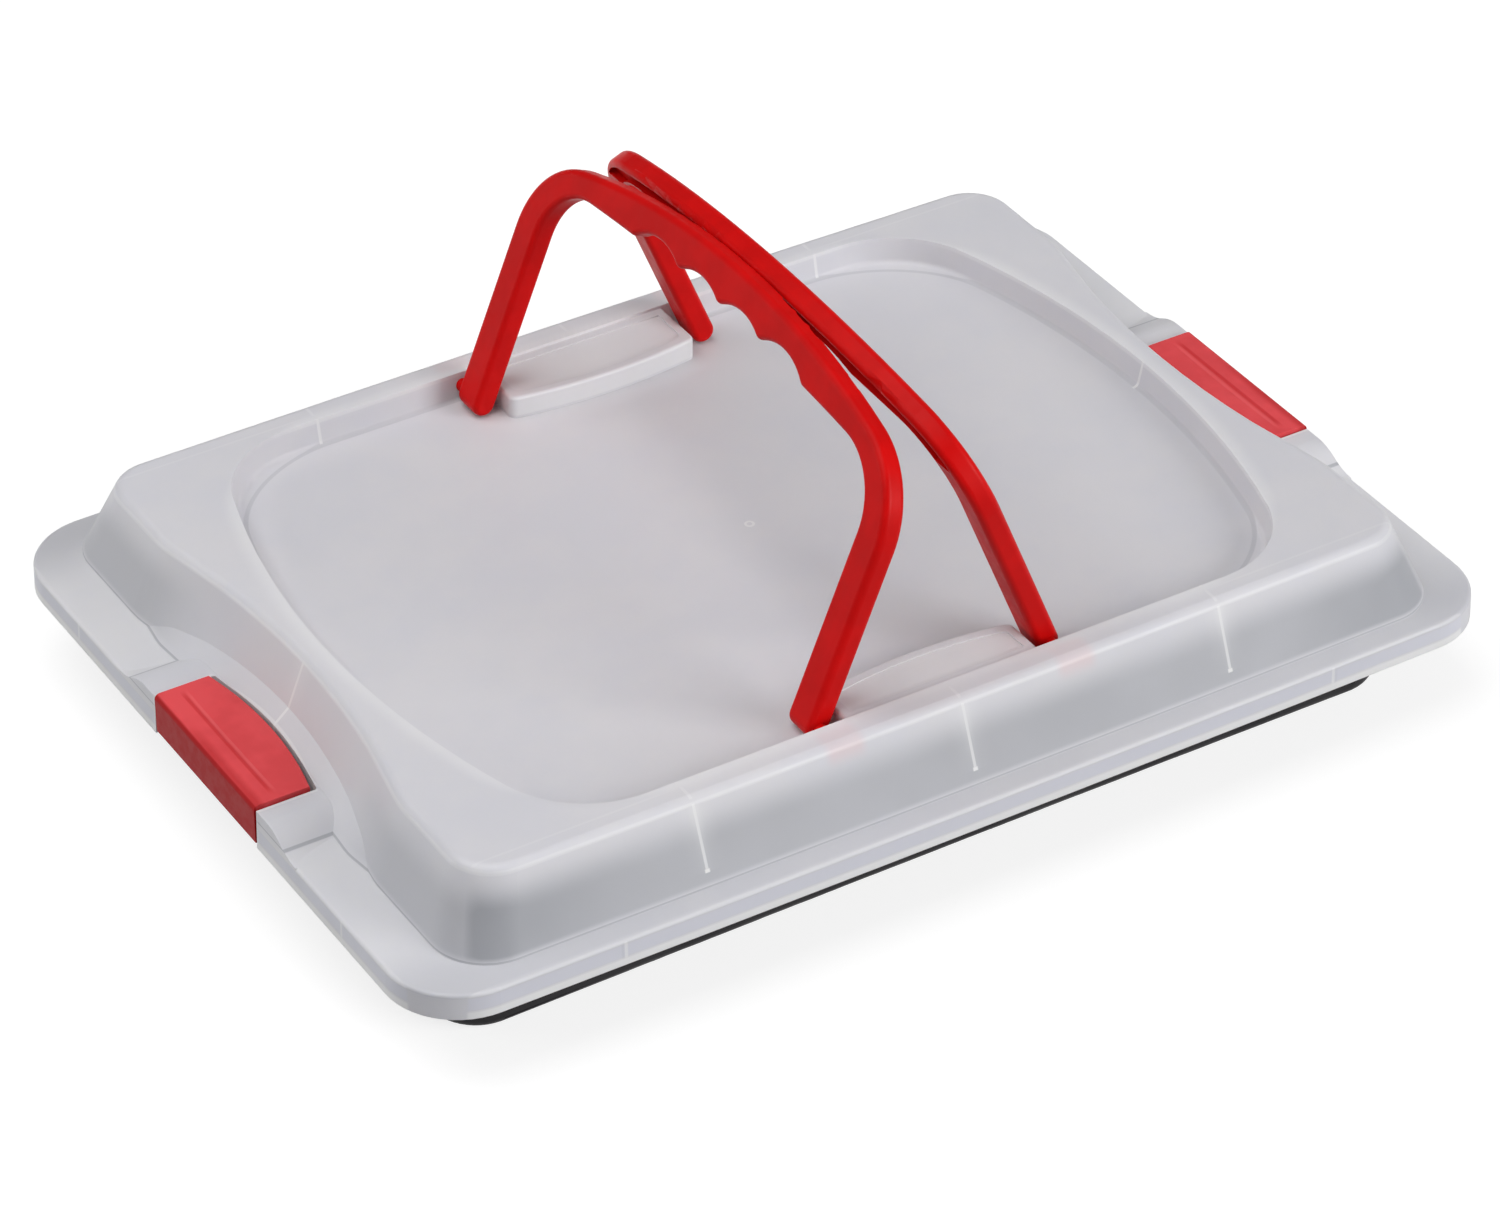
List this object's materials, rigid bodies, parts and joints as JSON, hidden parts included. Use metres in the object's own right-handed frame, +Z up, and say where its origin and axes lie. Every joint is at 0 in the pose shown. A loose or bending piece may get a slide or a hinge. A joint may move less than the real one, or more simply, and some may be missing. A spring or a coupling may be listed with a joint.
{
  "type": "baking pan with lid",
  "caption": "Rectangular steel baking pan closed by a translucent plastic carrying lid with folding bail handles and hinged end clips.",
  "frame": {"origin": "centre of the pan's flat underside", "axes": "+Z up, X along the long side between the two clips, Y along the short side between the handles' pivots"},
  "size_m": [0.42, 0.3018, 0.1688],
  "materials": {
    "coated_steel": "satin non-stick coating",
    "milky_plastic": "milky, translucent, finely matte",
    "red_plastic": "semi-gloss"
  },
  "bodies": {
    "pan": {"pan": "coated_steel"},
    "lid": {"lid": "milky_plastic"},
    "handle_left": {"handle_left": "red_plastic"},
    "handle_right": {"handle_right": "red_plastic"},
    "clip_left": {"clip_left": "red_plastic"},
    "clip_right": {"clip_right": "red_plastic"}
  },
  "joints": [
    {"name": "lid_lift", "type": "slide", "parent": "pan", "child": "lid", "axis": [0, 0, 1], "range_m": [0, 0.06]},
    {"name": "handle_left_fold", "type": "hinge", "parent": "lid", "child": "handle_left", "pos_m": [-0.045, 0, 0.06595], "axis": [0, -1, 0], "range_deg": [0, 112]},
    {"name": "handle_right_fold", "type": "hinge", "parent": "lid", "child": "handle_right", "pos_m": [0.045, 0, 0.06595], "axis": [0, 1, 0], "range_deg": [0, 112]},
    {"name": "clip_left_open", "type": "hinge", "parent": "lid", "child": "clip_left", "pos_m": [-0.1915, 0, 0.045], "axis": [0, 1, 0], "range_deg": [0, 75]},
    {"name": "clip_right_open", "type": "hinge", "parent": "lid", "child": "clip_right", "pos_m": [0.1915, 0, 0.045], "axis": [0, -1, 0], "range_deg": [0, 75]}
  ]
}
